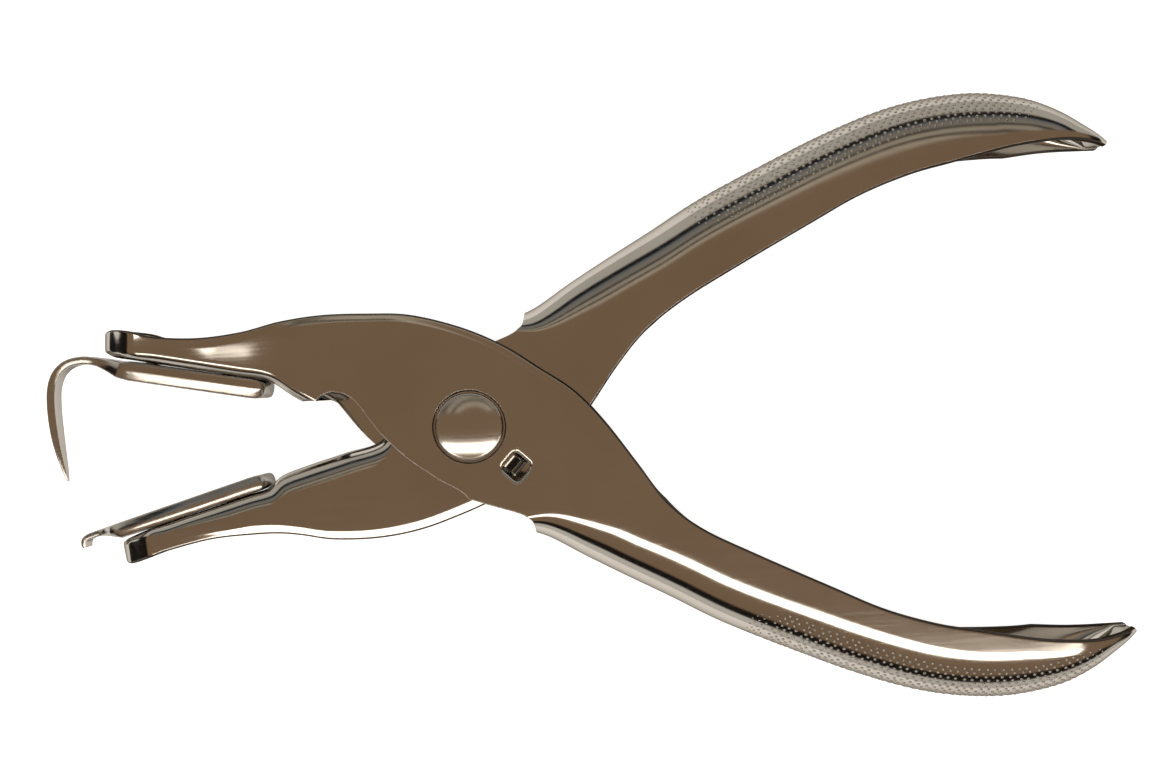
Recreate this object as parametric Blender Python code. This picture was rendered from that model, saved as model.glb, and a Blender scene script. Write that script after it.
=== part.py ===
"""Plier staple remover: two pressed steel levers crossing on one rivet.

The tool lies flat. The rivet's axis is Z, the jaws point to -X, the handles to +X,
and Z = 0 is the rear face it rests on. The outer lever is the upper jaw and the lower
handle; the inner lever is its mirror image, nested between the outer lever's plates.
Plan sizes below are millimetres in a lever's own plan: the bite side of the jaw runs
on into the outer side of the handle, and both are the spine of one bent channel.
"""
import math

import bmesh
import bpy
from mathutils import Matrix, Vector

MM = 0.001
SHEET = 1.2                 # steel sheet of both levers
GAP = 0.3                   # clearance where two pieces meet
OUTER_HALF = 6.0            # half width of the outer lever and of both handles
INNER_HALF = OUTER_HALF - SHEET - GAP   # the inner lever fits between the outer plates
JAW_HALF = 4.5              # half width of both jaws
NOSE_HALF = 3.9             # the jaws draw in a little before their noses
MID_Z = OUTER_HALF          # mid plane of the tool

CORNER_STEPS = 4            # facets of a bent corner
WALL_STEPS = 2              # facets across a side plate
ROW_STEPS = 2               # stations from one design station to the next

# Stations of a lever: spine x, y, open edge x, y, corner radius, end width factor.
JAW_OUTER = (
    (-57.0, 14.9, -56.8, 17.9, 0.7, 0.24),
    (-56.5, 14.5, -56.3, 18.2, 1.0, 0.48),
    (-55.3, 14.1, -55.0, 18.3, 1.4, 0.68),
    (-52.8, 13.6, -52.4, 18.1, 1.7, 0.91),
    (-48.1, 12.6, -47.7, 16.7, 1.8, 1.00),
    (-41.5, 11.2, -40.7, 16.1, 1.8, 1.00),
    (-35.5, 9.9, -34.0, 16.6, 1.8, 1.00),
    (-30.7, 8.8, -28.0, 17.8, 1.8, 1.00),
    (-26.9, 6.2, -21.5, 18.4, 1.8, 1.00),
    (-23.4, 4.0, -14.5, 18.2, 1.8, 1.00),
    (-20.8, 0.8, -8.0, 17.6, 1.8, 1.00),
    (-15.5, -6.8, -0.5, 15.3, 1.8, 1.00),
    (-8.0, -12.0, 5.8, 12.2, 1.8, 1.00),
    (-0.5, -15.2, 11.2, 8.4, 1.8, 1.00),
)
JAW_INNER = (
    (-56.0, 14.9, -55.6, 17.9, 0.7, 0.22),
    (-55.6, 14.5, -55.3, 18.2, 1.0, 0.38),
    (-54.6, 14.1, -54.3, 18.3, 1.4, 0.60),
    (-52.5, 13.4, -52.0, 17.7, 1.7, 0.87),
    (-48.1, 12.1, -47.7, 16.3, 1.8, 1.00),
    (-41.5, 10.3, -40.7, 14.9, 2.0, 1.00),
    (-35.5, 8.6, -34.0, 14.6, 2.2, 1.00),
    (-32.2, 7.7, -30.0, 14.7, 2.4, 1.00),
    (-29.9, 5.9, -26.6, 15.2, 2.7, 1.00),
    (-26.0, 4.6, -22.0, 16.1, 2.9, 1.00),
    (-20.0, 3.0, -15.5, 16.3, 2.9, 1.00),
    (-14.0, 1.3, -9.5, 15.6, 2.6, 1.00),
    (-10.5, -4.0, -4.0, 14.1, 2.0, 1.00),
    (-7.5, -11.5, 3.1, 11.4, 1.7, 1.00),
    (-0.5, -15.2, 9.5, 7.6, 1.7, 1.00),
)
NECK_OUTER = (
    (5.2, -16.2, 16.3, 4.6, 2.4, 1.00),
    (10.2, -17.6, 20.8, -0.6, 4.2, 1.00),
    (16.6, -21.5, 25.8, -7.9, 5.0, 1.00),
    (22.5, -24.9, 29.4, -13.2, 5.2, 1.00),
    (29.2, -28.6, 34.5, -17.6, 5.4, 1.00),
)
NECK_INNER = (
    (5.2, -16.2, 14.2, 3.2, 2.4, 1.00),
    (10.2, -17.6, 18.2, -1.4, 4.2, 1.00),
    (16.6, -21.5, 23.2, -8.0, 5.0, 1.00),
    (22.5, -24.9, 27.8, -13.0, 5.2, 1.00),
    (29.2, -28.6, 33.8, -17.3, 5.4, 1.00),
)
HANDLE = (
    (37.5, -33.3, 42.3, -21.9, 5.4, 1.00),
    (49.4, -38.8, 53.7, -27.7, 5.4, 1.00),
    (57.8, -42.4, 61.6, -31.6, 5.4, 1.00),
    (66.1, -45.3, 69.4, -34.3, 5.4, 1.00),
    (73.2, -46.8, 75.8, -35.7, 5.4, 1.00),
    (80.0, -47.3, 81.5, -36.9, 5.4, 1.00),
    (85.2, -46.8, 86.0, -37.7, 5.2, 1.00),
    (89.9, -45.6, 90.0, -38.1, 4.8, 0.98),
    (94.0, -43.6, 93.4, -38.3, 4.2, 0.92),
    (97.2, -41.4, 96.4, -38.2, 3.0, 0.78),
    (99.8, -39.6, 99.2, -37.9, 1.6, 0.58),
    (101.6, -38.4, 101.1, -37.6, 0.8, 0.36),
)
# How far the rear plate's open edge stands back from the front one's, over x.
REAR_SET_BACK = ((30.0, 0.0), (38.0, 1.2), (52.0, 1.9), (64.0, 2.4), (76.0, 2.0), (88.0, 0.0))
NOSE_ROWS = 4               # stations of a nose that are drawn shut
TIP_ROWS = 3                # stations of a handle's tip that are drawn shut
END_HOLLOW = 0.3            # hollow left where an end is shut
LEAST_HALF = 0.5            # half width of the narrowest hollow

# Line on the outer jaw above which its plate stands at full width.
SHOULDER = ((-46.0, 19.0), (-39.3, 14.4), (-27.0, 13.2), (-17.3, 8.4), (-13.0, 1.0), (-10.0, -9.0))
SHOULDER_BLEND = 4.6        # width of that sloping step
FADE_START = 22.6           # radius from the rivet within which the plate is at full width
FADE_END = 31.0
JOGGLE_START = 22.0         # radius from the rivet where the inner lever starts to widen
JOGGLE_END = 46.0

# Where the spine is cut away so that the levers can cross. The outer lever's front
# plate is relieved further than its rear one.
NOTCH_THROUGH = (
    (-28.0, -4.0), (-26.6, 5.1), (-24.3, 5.8), (-22.3, 5.0), (-20.9, 3.1),
    (-18.9, 0.3), (-16.8, -2.0), (-13.8, -4.6),
    (-10.1, -6.8), (-5.4, -8.8), (-1.9, -10.5), (1.8, -11.9), (7.2, -13.7), (9.0, -15.1),
    (9.3, -20.0), (-12.1, -20.0), (-18.1, -12.0),
)
NOTCH_FRONT = (
    (-26.04, -4.75), (-23.34, 5.05), (-22.24, 6.15), (-20.64, 6.65), (-18.84, 6.25), (-17.04, 5.05),
    (-13.44, -0.45),
    (-9.54, -4.45), (-5.14, -7.75), (-1.74, -9.75), (0.36, -12.25), (-7.84, -14.75),
)
NOTCH_SPLIT_Z = 1.5
NOTCH_INNER = (
    (-15.5, -2.6), (-10.1, 0.3), (-8.0, -2.4), (-6.8, -6.2), (-5.3, -8.0), (-1.8, -10.2),
    (1.9, -11.9), (7.3, -13.8), (9.1, -15.3), (9.4, -20.0), (-12.0, -20.0),
)

# Pivot rivet, sleeve and spring.
SHANK_R = 3.0
HEAD_R = 5.2
HEAD_EDGE = 0.35            # height of the head's straight edge
HEAD_CROWN = 0.45           # rise of the dome above that edge
TAIL_R = 4.2                # the tail is peened flush into a countersink
SLEEVE_R = 4.0
BORE_TURN = 4.0             # keeps the bore's facets off the plates' own corners
WIRE_R = 0.45
COIL_R = 4.8
COIL_TURNS_EXTRA = 3        # whole turns added to the partial one
COIL_FIRST_Z = MID_Z - INNER_HALF + SHEET + GAP + WIRE_R
COIL_LAST_Z = MID_Z + INNER_HALF - SHEET - GAP - WIRE_R - 0.1
SPRING_START_ANGLE = 122.5  # where the inner lever's leg leaves the coil
SPRING_END_ANGLE = 242.3    # where the outer lever's leg leaves it
INNER_LEG = 16.2
OUTER_LEG = 8.8
OUTER_LEG_TIP_Z = MID_Z + INNER_HALF - 0.3

# Window lanced in the outer front plate, with its tab bent inward behind it.
WINDOW_ANGLE = -44.0
WINDOW_RADIUS = 9.48
WINDOW_SIDE = 3.3
TAB_WIDTH = 2.7
TAB_THICK = 0.9
TAB_LENGTH = 2.9
TAB_SLOPE = 35.0
SLOT_INNER_R = 8.2
SLOT_OUTER_R = 12.0
SLOT_START = -64.0          # in the inner lever's own plan, seen at rest
SLOT_END = -15.0

# Bars fixed along the bite faces.
OUTER_BITE = ((-31.4, 9.04), (-0.9794, 0.2019))      # start of the face and its direction
INNER_BITE = ((-32.1, -7.68), (-0.9635, -0.2677))
HOOK_BAR_THICK = 2.8
TONGUE_BAR_THICK = 2.2
BAR_WIDTH = 7.0
STRAP_THICK = 1.25
STRAP_WIDTH = 2.8
RIVET_STATIONS = (6.6, 18.8)    # along each bar
SMALL_SHANK_R = 1.0
SMALL_HEAD_R = 1.7
SMALL_TAIL_R = 1.5
SMALL_HEAD_RISE = 0.7
SMALL_TAIL_DEPTH = 0.6


def clear_scene():
    for item in list(bpy.data.objects):
        bpy.data.objects.remove(item, do_unlink=True)


def material(name, colour, roughness, metallic=1.0):
    made = bpy.data.materials.new(name)
    made.use_nodes = True
    shader = made.node_tree.nodes["Principled BSDF"]
    shader.inputs["Base Color"].default_value = (*colour, 1.0)
    shader.inputs["Roughness"].default_value = roughness
    shader.inputs["Metallic"].default_value = metallic
    return made


def add_object(name, mesh, finish=None):
    item = bpy.data.objects.new(name, mesh)
    bpy.context.collection.objects.link(item)
    if finish is not None:
        mesh.materials.append(finish)
    return item


def mesh_from(bm, name):
    bmesh.ops.recalc_face_normals(bm, faces=bm.faces)
    mesh = bpy.data.meshes.new(name)
    bm.to_mesh(mesh)
    bm.free()
    return mesh


def shade(item, angle=35.0):
    item.data.shade_smooth()
    item.data.set_sharp_from_angle(angle=math.radians(angle))


def as_cutter(item):
    item.hide_render = True
    item.display_type = "WIRE"
    return item


def boolean(item, other, operation="DIFFERENCE"):
    cut = item.modifiers.new(other.name, "BOOLEAN")
    cut.object = other
    cut.operation = operation
    cut.solver = "EXACT"


def smooth_rows(rows, steps):
    """Catmull-Rom stations through the design rows."""
    out = []
    for index in range(len(rows) - 1):
        before = rows[max(index - 1, 0)]
        here = rows[index]
        after = rows[index + 1]
        later = rows[min(index + 2, len(rows) - 1)]
        for step in range(steps):
            t = step / steps
            out.append(tuple(
                0.5 * (2 * b + (c - a) * t + (2 * a - 5 * b + 4 * c - d) * t * t
                       + (3 * b - a - 3 * c + d) * t ** 3)
                for a, b, c, d in zip(before, here, after, later)))
    out.append(rows[-1])
    return out


def smoothstep(value):
    value = min(max(value, 0.0), 1.0)
    return value * value * (3.0 - 2.0 * value)


def line_height(points, x):
    """Height of a broken line over x."""
    if x <= points[0][0]:
        return points[0][1]
    for (x0, y0), (x1, y1) in zip(points, points[1:]):
        if x <= x1:
            return y0 + (y1 - y0) * (x - x0) / (x1 - x0)
    return points[-1][1]


def nose_half(x):
    """Half width of a jaw, which draws in towards its nose."""
    return JAW_HALF + (NOSE_HALF - JAW_HALF) * smoothstep((-44.0 - x) / 10.0)


def outer_half(x, y):
    if x > 0.0:
        return OUTER_HALF
    narrow = smoothstep((line_height(SHOULDER, x) - y) / SHOULDER_BLEND + 0.5)
    narrow *= smoothstep((math.hypot(x, y) - FADE_START) / (FADE_END - FADE_START))
    return OUTER_HALF + (nose_half(x) - OUTER_HALF) * narrow


def inner_half(x, y):
    if x < 0.0:
        return min(INNER_HALF, nose_half(x))
    wide = smoothstep((math.hypot(x, y) - JOGGLE_START) / (JOGGLE_END - JOGGLE_START))
    return INNER_HALF + (OUTER_HALF - INNER_HALF) * wide


def half_section(row, half_at, inset, floor):
    """Points from the spine's middle round the corner and up one side plate to the rim."""
    spine = Vector(row[0:2])
    across = Vector(row[2:4]) - spine
    depth = across.length - floor
    across.normalize()
    spine += across * floor
    corner = spine + across * min(depth, row[4])
    half = max(half_at(corner.x, corner.y) * row[5] - inset, LEAST_HALF)
    radius_z = min(max(row[4] - inset, 0.35), half * 0.96)
    radius_d = min(max(row[4] - inset, 0.35), depth * 0.8)
    points = []
    for step in range(CORNER_STEPS + 1):
        turn = math.radians(90.0) * step / CORNER_STEPS
        place = spine + across * (radius_d * (1.0 - math.cos(turn)))
        points.append((place.x, place.y, half - radius_z * (1.0 - math.sin(turn))))
    for step in range(1, WALL_STEPS + 1):
        place = spine + across * (radius_d + (depth - radius_d) * step / WALL_STEPS)
        points.append((place.x, place.y, max(half_at(place.x, place.y) * row[5] - inset, LEAST_HALF)))
    return points


def rear_row(row):
    """The same station with the open edge of the rear plate."""
    edge = Vector(row[2:4])
    towards = (Vector(row[0:2]) - edge).normalized()
    edge += towards * line_height(REAR_SET_BACK, edge.x)
    return (row[0], row[1], edge.x, edge.y, row[4], row[5])


def channel_ring(row, half_at, closed):
    """Closed outline of the bent sheet at one station; a closed end has next to no hollow."""
    sides = []
    for station in (row, rear_row(row)):
        depth = (Vector(station[2:4]) - Vector(station[0:2])).length
        floor = depth - END_HOLLOW if closed else SHEET
        sides.append((half_section(station, half_at, 0.0, 0.0), half_section(station, half_at, SHEET, floor)))
    (outside, inside), (rear_outside, rear_inside) = sides
    lower_out = [(x, y, -z) for x, y, z in reversed(rear_outside)]
    lower_in = [(x, y, -z) for x, y, z in rear_inside]
    return lower_out + outside + list(reversed(inside)) + lower_in


def loft_lever(name, rows, half_at, mirror):
    """The whole bent channel, nose to tip, with both ends drawn shut."""
    bm = bmesh.new()
    rings = []
    for index, row in enumerate(rows):
        closed = index < NOSE_ROWS or index >= len(rows) - TIP_ROWS
        ring = channel_ring(row, half_at, closed)
        rings.append([bm.verts.new((x * MM, y * mirror * MM, (MID_Z + z) * MM)) for x, y, z in ring])
    for low, high in zip(rings, rings[1:]):
        for index in range(len(low)):
            after = (index + 1) % len(low)
            bm.faces.new((low[index], low[after], high[after], high[index]))
    bm.faces.new(rings[0])
    bm.faces.new(reversed(rings[-1]))
    bmesh.ops.triangulate(bm, faces=bm.faces)
    return mesh_from(bm, name)


def prism(name, outline, low, high, mirror=1):
    bm = bmesh.new()
    base = [bm.verts.new((x * MM, y * mirror * MM, low * MM)) for x, y in outline]
    face = bm.faces.new(base)
    grown = bmesh.ops.extrude_face_region(bm, geom=[face])
    lifted = [v for v in grown["geom"] if isinstance(v, bmesh.types.BMVert)]
    bmesh.ops.translate(bm, verts=lifted, vec=(0.0, 0.0, (high - low) * MM))
    return as_cutter(add_object(name, mesh_from(bm, name)))


def turned(name, profile, segments, finish=None):
    """A solid of revolution about local Z from (radius, height) points, axis to axis."""
    bm = bmesh.new()
    verts = [bm.verts.new((r * MM, 0.0, z * MM)) for r, z in profile]
    edges = [bm.edges.new(pair) for pair in zip(verts, verts[1:])]
    if profile[0][0] > 0.0:
        edges.append(bm.edges.new((verts[-1], verts[0])))
    bmesh.ops.spin(bm, geom=verts + edges, cent=(0, 0, 0), axis=(0, 0, 1),
                   angle=math.tau, steps=segments, use_duplicate=False)
    bmesh.ops.remove_doubles(bm, verts=bm.verts, dist=0.000001)
    item = add_object(name, mesh_from(bm, name), finish)
    shade(item)
    return item


def dome(radius, base, rise, steps=4):
    """Profile of a shallow crown from its rim to the axis."""
    return [(radius * math.cos(math.radians(90.0) * k / steps),
             base + rise * math.sin(math.radians(90.0) * k / steps)) for k in range(1, steps)] + [
                 (0.0, base + rise)]


def on_face(item, place, normal):
    """Stand a turned piece on a bite face with its axis along the face's normal."""
    axis = Vector((normal[0], normal[1], 0.0))
    across = Vector((0.0, 0.0, 1.0))
    turn = Matrix((axis.cross(across), across, axis)).transposed()
    turn.col[0] = across.cross(axis)
    item.matrix_world = Matrix.Translation(Vector((place[0], place[1], MID_Z)) * MM) @ turn.to_4x4()
    return item


def bar(name, rows, finish):
    """A bar of rounded section along rows of x, y, thickness, width."""
    bm = bmesh.new()
    centres = [Vector(row[0:2]) for row in rows]
    rings = []
    for index, (x, y, thick, width) in enumerate(rows):
        along = centres[min(index + 1, len(rows) - 1)] - centres[max(index - 1, 0)]
        normal = Vector((-along.y, along.x)).normalized()
        half_t = thick / 2
        half_w = width / 2
        round_r = min(half_t, half_w) * 0.55
        ring = []
        for sign_t, sign_w, first in ((1, 1, 0), (-1, 1, 90), (-1, -1, 180), (1, -1, 270)):
            for step in range(3):
                turn = math.radians(first + 45.0 * step)
                t = sign_t * (half_t - round_r) + round_r * math.cos(turn)
                w = sign_w * (half_w - round_r) + round_r * math.sin(turn)
                place = Vector((x, y)) + normal * t
                ring.append(bm.verts.new((place.x * MM, place.y * MM, (MID_Z + w) * MM)))
        rings.append(ring)
    for low, high in zip(rings, rings[1:]):
        for index in range(len(low)):
            after = (index + 1) % len(low)
            bm.faces.new((low[index], low[after], high[after], high[index]))
    bm.faces.new(rings[0])
    bm.faces.new(reversed(rings[-1]))
    item = add_object(name, mesh_from(bm, name), finish)
    shade(item)
    return item


def face_frame(bite, side):
    """Start, direction and outward normal of a bite face; side is -1 for the upper jaw."""
    start = Vector(bite[0])
    along = Vector(bite[1])
    normal = Vector((along.y, -along.x)) * side
    return start, along, normal


def bar_rows(bite, side, thick, length):
    """Rounded inner end and straight run of a bar lying on a bite face."""
    start, along, normal = face_frame(bite, side)
    centre = start + normal * (GAP + thick / 2)
    rows = []
    for reach, size in ((0.0, 0.45), (0.35, 0.75), (1.1, 0.95), (2.2, 1.0), (length * 0.5, 1.0),
                        (length, 1.0)):
        place = centre + along * reach
        rows.append((place.x, place.y, thick * size, BAR_WIDTH * (0.55 + 0.45 * size)))
    return rows


def lever_holes(name, mirror):
    """Rivet hole through both plates, countersunk in the outer lever's rear plate."""
    clear = SHANK_R + GAP
    profile = [(0.0, -1.0), (clear, -1.0), (clear, 13.0), (0.0, 13.0)]
    if mirror == 1:
        flare = TAIL_R + GAP
        slope = (flare - clear) / SHEET
        profile = [(0.0, -0.5), (flare + 0.5 * slope, -0.5), (clear, SHEET), (clear, 13.0), (0.0, 13.0)]
    item = as_cutter(turned(name, profile, 30))
    item.rotation_euler.z = math.radians(BORE_TURN)
    return item


def lanced_tab(name):
    """Tab left by lancing the window, bent inward from the edge nearest the rivet."""
    bm = bmesh.new()
    slope = math.radians(TAB_SLOPE)
    root_r = WINDOW_RADIUS - WINDOW_SIDE / 2 - 0.4
    top = OUTER_HALF * 2
    side = []
    for reach, drop in ((0.0, 0.1), (0.55, 0.1)):
        side.append((root_r + reach, top - drop))
    end = (root_r + 0.55 + TAB_LENGTH * math.cos(slope), top - 0.1 - TAB_LENGTH * math.sin(slope))
    side.append(end)
    side.append((end[0] - TAB_THICK * math.sin(slope), end[1] - TAB_THICK * math.cos(slope)))
    side.append((root_r + 0.3, top - 0.1 - TAB_THICK))
    side.append((root_r, top - 0.1 - TAB_THICK))
    left = [bm.verts.new((r * MM, -TAB_WIDTH / 2 * MM, z * MM)) for r, z in side]
    face = bm.faces.new(left)
    grown = bmesh.ops.extrude_face_region(bm, geom=[face])
    lifted = [v for v in grown["geom"] if isinstance(v, bmesh.types.BMVert)]
    bmesh.ops.translate(bm, verts=lifted, vec=(0.0, TAB_WIDTH * MM, 0.0))
    item = as_cutter(add_object(name, mesh_from(bm, name)))
    item.rotation_euler.z = math.radians(WINDOW_ANGLE)
    return item


def lanced_window(name):
    half = WINDOW_SIDE / 2
    corner = 0.5
    outline = []
    for cx, cy, first in ((1, 1, 0), (-1, 1, 90), (-1, -1, 180), (1, -1, 270)):
        for step in range(3):
            turn = math.radians(first + 45 * step)
            outline.append((WINDOW_RADIUS + cx * (half - corner) + corner * math.cos(turn),
                            cy * (half - corner) + corner * math.sin(turn)))
    item = prism(name, outline, OUTER_HALF * 2 - SHEET - 0.2, OUTER_HALF * 2 + 1.0)
    item.rotation_euler.z = math.radians(WINDOW_ANGLE)
    return item


def arc_slot(name):
    """Slot in the inner front plate that the tab sweeps through."""
    steps = 10
    outline = []
    for radius, order in ((SLOT_OUTER_R, range(steps + 1)), (SLOT_INNER_R, range(steps, -1, -1))):
        for step in order:
            turn = math.radians(SLOT_START + (SLOT_END - SLOT_START) * step / steps)
            outline.append((radius * math.cos(turn), radius * math.sin(turn)))
    top = MID_Z + INNER_HALF
    return prism(name, outline, top - SHEET - 0.2, top + 0.2)


def make_lever(name, design, half_at, mirror, notches, finish):
    rows = smooth_rows(design + HANDLE, ROW_STEPS)
    lever = add_object(name, loft_lever(name, rows, half_at, mirror), finish)
    for index, (outline, low, high) in enumerate(notches):
        boolean(lever, prism(f"{name}.notch{index}", outline, low, high, mirror))
    boolean(lever, lever_holes(name + ".bore", mirror))
    return lever


def small_rivet(name, mesh_source, bite, side, thick, station, finish):
    """Rivet that holds a bar on its jaw: flush outside, domed head inside the channel."""
    start, along, normal = face_frame(bite, side)
    outside = GAP + thick
    if mesh_source is None:
        inside = -SHEET - GAP
        profile = [(0.0, outside), (SMALL_TAIL_R, outside), (SMALL_SHANK_R, outside - SMALL_TAIL_DEPTH),
                   (SMALL_SHANK_R, inside), (SMALL_HEAD_R, inside), (SMALL_HEAD_R, inside - 0.2)]
        profile += [(r, 2 * (inside - 0.2) - z) for r, z in dome(SMALL_HEAD_R, inside - 0.2, SMALL_HEAD_RISE, 3)]
        item = turned(name, profile, 16, finish)
    else:
        item = add_object(name, mesh_source)
    return on_face(item, start + along * station, normal)


def rivet_bores(name, bite, side, thick, station):
    start, along, normal = face_frame(bite, side)
    outside = GAP + thick
    clear = SMALL_SHANK_R + GAP
    flare = SMALL_TAIL_R + GAP
    slope = (flare - clear) / SMALL_TAIL_DEPTH
    profile = [(0.0, outside + 0.4), (flare + 0.4 * slope, outside + 0.4),
               (clear, outside - SMALL_TAIL_DEPTH), (clear, -SHEET - 0.6), (0.0, -SHEET - 0.6)]
    item = as_cutter(turned(name, profile, 16))
    return on_face(item, start + along * station, normal)


def hook_rows():
    """Bar on the upper jaw, drawn out into the long hook."""
    rows = bar_rows(OUTER_BITE, -1, HOOK_BAR_THICK, 21.1)
    rows += [
        (-54.1, 12.0, 2.5, 6.2), (-56.3, 12.95, 1.9, 4.2), (-58.4, 13.65, STRAP_THICK + 0.1, 3.0),
    ]
    path = (
        (-60.6, 13.95, STRAP_THICK, STRAP_WIDTH), (-62.9, 13.5, STRAP_THICK, STRAP_WIDTH),
        (-64.6, 12.1, STRAP_THICK, STRAP_WIDTH), (-65.5, 9.8, STRAP_THICK, STRAP_WIDTH),
        (-65.7, 6.6, STRAP_THICK, STRAP_WIDTH), (-65.5, 3.0, 1.2, 2.6), (-65.1, -0.2, 0.95, 2.1),
        (-64.6, -3.0, 0.6, 1.3), (-64.25, -4.9, 0.22, 0.5),
    )
    return rows + smooth_rows(path, 3)


def tongue_rows():
    """Bar on the lower jaw, narrowing to the thin tongue that slides under a staple."""
    rows = bar_rows(INNER_BITE, 1, TONGUE_BAR_THICK, 23.6)
    start, along, normal = face_frame(INNER_BITE, 1)
    top = GAP + TONGUE_BAR_THICK
    for reach, thick, width, sink in (
            (25.3, 1.7, 5.4, 0.0), (26.9, 1.2, 3.4, 0.0), (28.1, 1.0, 2.8, 0.0), (29.5, 0.95, 2.7, 0.05),
            (30.3, 0.9, 2.6, 0.35), (30.65, 0.8, 2.5, 1.0), (30.7, 0.6, 2.3, 1.7)):
        place = start + along * reach + normal * (top - thick / 2 - sink)
        rows.append((place.x, place.y, thick, width))
    return rows


def spring_points():
    """Centre line of the torsion spring, from the inner lever's leg to the outer one's."""
    first = math.radians(SPRING_START_ANGLE)
    sweep = math.radians(SPRING_END_ANGLE - SPRING_START_ANGLE + 360.0 * COIL_TURNS_EXTRA)
    steps = 18 * COIL_TURNS_EXTRA + 6
    points = [(COIL_R * math.cos(first) + INNER_LEG * math.sin(first),
               COIL_R * math.sin(first) - INNER_LEG * math.cos(first), COIL_FIRST_Z)]
    for step in range(steps + 1):
        turn = first + sweep * step / steps
        height = COIL_FIRST_Z + (COIL_LAST_Z - COIL_FIRST_Z) * step / steps
        points.append((COIL_R * math.cos(turn), COIL_R * math.sin(turn), height))
    last = first + sweep
    end = (COIL_R * math.cos(last) - OUTER_LEG * math.sin(last),
           COIL_R * math.sin(last) + OUTER_LEG * math.cos(last))
    points.append((*end, COIL_LAST_Z))
    points.append((*end, OUTER_LEG_TIP_Z))
    return points


def make_spring(name, finish):
    curve = bpy.data.curves.new(name, "CURVE")
    curve.dimensions = "3D"
    curve.bevel_depth = WIRE_R * MM
    curve.bevel_resolution = 2
    curve.use_fill_caps = True
    points = spring_points()
    spline = curve.splines.new("POLY")
    spline.points.add(len(points) - 1)
    for point, place in zip(spline.points, points):
        point.co = (*(Vector(place) * MM), 1.0)
    curve.materials.append(finish)
    item = bpy.data.objects.new(name, curve)
    bpy.context.collection.objects.link(item)
    return item


def make_pivot(finish, sleeve_finish):
    top = OUTER_HALF * 2 + GAP
    edge = top + HEAD_EDGE
    profile = [(0.0, 0.0), (TAIL_R, 0.0), (SHANK_R, SHEET), (SHANK_R, top), (HEAD_R, top), (HEAD_R, edge)]
    profile += dome(HEAD_R, edge, HEAD_CROWN, 5)
    turned("pivot_rivet", profile, 40, finish)
    low = MID_Z - INNER_HALF + SHEET + GAP
    high = MID_Z + INNER_HALF - SHEET - GAP
    bore = SHANK_R + GAP
    turned("pivot_sleeve", [(bore, low), (SLEEVE_R, low), (SLEEVE_R, high), (bore, high)], 32, sleeve_finish)


def build():
    clear_scene()
    nickel = (0.62, 0.58, 0.52)
    plate_a = material("nickel_outer", nickel, 0.12)
    plate_b = material("nickel_inner", nickel, 0.13)
    rivet_finish = material("nickel_rivet", (0.66, 0.62, 0.56), 0.10)
    blade_a = material("nickel_hook", (0.64, 0.60, 0.54), 0.16)
    blade_b = material("nickel_tongue", (0.60, 0.56, 0.50), 0.18)
    small_finish = material("steel_small_rivet", (0.50, 0.48, 0.45), 0.25)
    sleeve_finish = material("steel_sleeve", (0.46, 0.45, 0.44), 0.32)
    wire_finish = material("spring_wire", (0.36, 0.35, 0.34), 0.28)

    below, above = -1.0, OUTER_HALF * 2 + 1.0
    outer = make_lever("outer_lever", JAW_OUTER + NECK_OUTER, outer_half, 1,
                       ((NOTCH_THROUGH, below, above), (NOTCH_FRONT, NOTCH_SPLIT_Z, above + 1.0)), plate_a)
    boolean(outer, lanced_window("outer_lever.window"))
    boolean(outer, lanced_tab("outer_lever.tab"), "UNION")
    inner = make_lever("inner_lever", JAW_INNER + NECK_INNER, inner_half, -1,
                       ((NOTCH_INNER, below, above),), plate_b)
    boolean(inner, arc_slot("inner_lever.slot"))

    hook = bar("hook_blade", hook_rows(), blade_a)
    tongue = bar("tongue_blade", tongue_rows(), blade_b)
    for lever, blade, bite, side, thick, word in (
            (outer, hook, OUTER_BITE, -1, HOOK_BAR_THICK, "hook"),
            (inner, tongue, INNER_BITE, 1, TONGUE_BAR_THICK, "tongue")):
        shared = None
        for station, place in zip(RIVET_STATIONS, ("rear", "front")):
            bore = rivet_bores(f"{word}.bore_{place}", bite, side, thick, station)
            boolean(blade, bore)
            boolean(lever, bore)
            rivet = small_rivet(f"{word}_rivet_{place}", shared, bite, side, thick, station, small_finish)
            shared = rivet.data
    shade(outer)
    shade(inner)
    make_pivot(rivet_finish, sleeve_finish)
    make_spring("return_spring", wire_finish)


build()
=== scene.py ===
"""Studio picture of a plier staple remover in bright nickel plate.

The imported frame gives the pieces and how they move. This script adds finer levers with
rolled rims and knurled grips, the bars, the pivot rivet and the spring, the finishes, a
pale table and soft light. Sizes are millimetres in the frame's plan. A lever's spine runs
along the bite side of its jaw and on into the outer side of its handle. Both levers are
drawn the same way up, and the inner one is then mirrored.
"""
import math

import bmesh
import bpy
from mathutils import Matrix, Vector


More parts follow.
